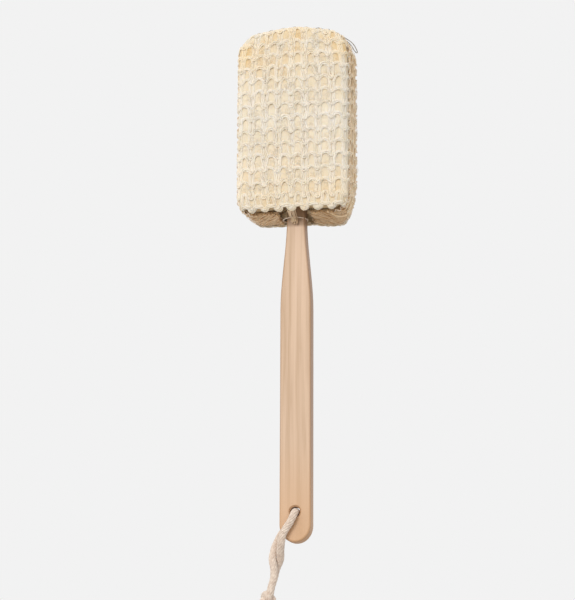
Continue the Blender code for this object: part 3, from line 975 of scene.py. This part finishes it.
def cotton_material():
    """Undyed cotton, mottled and a little fuzzy."""
    n = Nodes("cotton_rope", 0.9)
    fibre = n.attribute("fibre", "Vector")
    streaks = n.noise(n.stretch(fibre, (500.0, 3200.0, 3200.0)), 1.0, 3.0)
    patches = n.noise(n.position(), 420.0, 3.0)
    mottle = n.math("ADD", n.math("MULTIPLY", streaks, 0.5), n.math("MULTIPLY", patches, 0.5))
    colour = n.ramp(mottle, (0.36, (0.56, 0.43, 0.34)), (0.62, (0.84, 0.72, 0.61)))
    n.shader.inputs["Sheen Weight"].default_value = 0.3
    return n.finish(colour, streaks, 0.6, 0.0003)


def thread_material():
    """Pale sewing thread."""
    n = Nodes("sewing_thread", 0.7)
    streaks = n.noise(n.stretch(n.attribute("fibre", "Vector"), (900.0, 5000.0, 5000.0)), 1.0, 2.0)
    colour = n.ramp(streaks, (0.3, (0.78, 0.62, 0.46)), (0.7, (0.92, 0.80, 0.68)))
    return n.finish(colour, streaks, 0.3, 0.0001)


def nylon_material():
    """Clear thread, greyish against the knit."""
    n = Nodes("nylon_thread", 0.25)
    streaks = n.noise(n.stretch(n.attribute("fibre", "Vector"), (300.0, 4000.0, 4000.0)), 1.0, 2.0)
    colour = n.ramp(streaks, (0.3, (0.36, 0.33, 0.29)), (0.7, (0.58, 0.55, 0.50)))
    n.shader.inputs["Transmission Weight"].default_value = 0.35
    return n.finish(colour, streaks, 0.2, 0.0001)


# ---------------------------------------------------------------- pieces

def opening_rise(place):
    """How far the foam's underside rises round the neck."""
    near = smoothstep(15.0 * MM, 10.5 * MM, np.abs(place[:, 0]))
    low = smoothstep(HEAD_BOTTOM + 12.0 * MM, HEAD_BOTTOM + 3.0 * MM, place[:, 2])
    return OPENING_DEPTH * (near * low)


def smooth_copy(node, name, made, angle=35.0, soft=False):
    """A welded, smooth-shaded copy of a CAD node. A soft one follows the head's slump."""
    mesh = frame["nodes"][node].data.copy()
    mesh.name = name
    shape = bmesh.new()
    shape.from_mesh(mesh)
    bmesh.ops.remove_doubles(shape, verts=shape.verts, dist=2e-6)
    bmesh.ops.dissolve_limit(shape, angle_limit=math.radians(0.3), verts=shape.verts,
                             edges=shape.edges)
    if soft:
        bmesh.ops.triangulate(shape, faces=shape.faces)
        bmesh.ops.subdivide_edges(shape, edges=shape.edges, cuts=3, use_grid_fill=True)
        settled = slump(np.array([v.co for v in shape.verts]))
        settled[:, 2] += opening_rise(settled)
        for vertex, place in zip(shape.verts, settled):
            vertex.co = place
    shape.to_mesh(mesh)
    shape.free()
    mesh.materials.clear()
    mesh.materials.append(made)
    mesh.shade_smooth()
    mesh.set_sharp_from_angle(angle=math.radians(angle))
    obj = bpy.data.objects.new(name, mesh)
    bpy.context.scene.collection.objects.link(obj)
    weighted = obj.modifiers.new("even_shading", "WEIGHTED_NORMAL")
    weighted.keep_sharp = True
    return obj


def settle(obj, body, slot, *nodes):
    """Say what a piece rides on, and hide the CAD nodes it stands for. slot is not used."""
    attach(obj, body)
    if nodes:
        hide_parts(*nodes)
    return obj


def make_cover():
    """The knitted cover's five pieces."""
    face, low = face_knit(), bottom_knit_painted_shade()
    covers = (
        (knit_panel("knit_front", -1.0, FRONT_HEM, 11, face), "cover_front"),
        (knit_panel("knit_back", 1.0, 0.0, 12, face), "cover_back"),
        (knit_band("knit_band", 13, side_knit_painted_shade()), "cover_band"),
        (knit_bottom("knit_bottom_left", -1.0, 14, low), "cover_bottom_left"),
        (knit_bottom("knit_bottom_right", 1.0, 15, low), "cover_bottom_right"),
    )
    for piece, node in covers:
        settle(piece, "scrubber", "sisal_knit", node)


def make_core():
    """The foam pads and the wooden handle inside the cover."""
    foam = foam_material()
    for side in ("front", "back", "rim"):
        node = "foam_" + side
        pad = smooth_copy(node, "pad_" + side, foam, soft=True)
        settle(pad, "scrubber", "foam", node)
    settle(smooth_copy("handle", "wooden_handle", wood_material()), "scrubber", "wood", "handle")


def make_threads():
    """The seam threads, the thread round the neck and the clear closing thread."""
    thread = thread_material()
    settle(whip_seam("seam_front", -SEAM_Y, 21, thread), "scrubber", "sewing_thread",
           "seam_thread_front")
    settle(whip_seam("seam_back", SEAM_Y, 22, thread), "scrubber", "sewing_thread",
           "seam_thread_back")
    settle(ring_thread("neck_tie", "neck_thread", thread), "scrubber", "sewing_thread",
           "neck_thread")
    settle(closing_thread("closing_thread", nylon_material()), "scrubber", "nylon_thread", "thread_loop")


def make_hanging_loop():
    """The rope's two strands, its knot and its tails."""
    cotton = cotton_material()
    ends = [
        settle(knot("rope_knot", "loop_knot", cotton), "hanging_loop", "cotton_rope", "loop_knot"),
        settle(tail("rope_tail_front", FRONT_TAIL, 31, cotton), "hanging_loop", "cotton_rope",
               "loop_tail_front"),
        settle(tail("rope_tail_back", BACK_TAIL, 32, cotton), "hanging_loop", "cotton_rope",
               "loop_tail_back"),
    ]
    for name, points, node in (("rope_front", FRONT_STRAND, "loop_strand_front"),
                               ("rope_back", BACK_STRAND, "loop_strand_back")):
        path = smooth_route(np.array(points) * MM + np.array(HOLE), 150)
        tubes = Tubes()
        rope(tubes, path, ROPE / 2.0, len(name))
        strand = settle(tubes.object(name, cotton), "hanging_loop", "cotton_rope", node)


# ---------------------------------------------------------------- studio

def lamp(name, place, aim, size, power):
    """A round soft lamp."""
    light = bpy.data.lights.new(name, "AREA")
    light.shape = "DISK"
    light.size = size
    light.energy = power
    light.color = LAMP_COLOUR
    obj = bpy.data.objects.new(name, light)
    obj.location = place
    direction = Vector(aim) - Vector(place)
    obj.rotation_euler = direction.to_track_quat("-Z", "Y").to_euler()
    bpy.context.scene.collection.objects.link(obj)


def add_world():
    """Surroundings that are pale at eye level and dimmer below."""
    world = bpy.data.worlds.new("studio")
    world.use_nodes = True
    tree = world.node_tree
    place = tree.nodes.new("ShaderNodeTexCoord")
    split = tree.nodes.new("ShaderNodeSeparateXYZ")
    tree.links.new(place.outputs["Generated"], split.inputs[0])
    ramp = tree.nodes.new("ShaderNodeMapRange")
    ramp.inputs["From Min"].default_value = -0.25
    ramp.inputs["From Max"].default_value = -0.02
    ramp.inputs["To Min"].default_value = WORLD_BELOW
    ramp.inputs["To Max"].default_value = WORLD_PALE
    tree.links.new(split.outputs["Z"], ramp.inputs["Value"])
    tree.links.new(ramp.outputs[0], tree.nodes["Background"].inputs["Color"])
    bpy.context.scene.world = world
    bpy.context.scene.view_settings.view_transform = "Standard"


def add_floor():
    """A plain pale floor, far enough down to leave views from below free."""
    shape = bmesh.new()
    bmesh.ops.create_grid(shape, x_segments=1, y_segments=1, size=FLOOR_HALF)
    mesh = bpy.data.meshes.new("floor")
    shape.to_mesh(mesh)
    shape.free()
    floor = bpy.data.objects.new("floor", mesh)
    floor.location = (0.0, 0.0, FLOOR_HEIGHT)
    made = Nodes("floor", 0.9)
    mesh.materials.append(made.finish(FLOOR_COLOUR))
    bpy.context.scene.collection.objects.link(floor)


add_camera()
make_cover()
make_core()
make_threads()
make_hanging_loop()
add_world()
lamp("key", KEY_PLACE, KEY_AIM, KEY_SIZE, KEY_POWER)
lamp("back_fill", BACK_PLACE, BACK_AIM, BACK_SIZE, BACK_POWER)
add_floor()
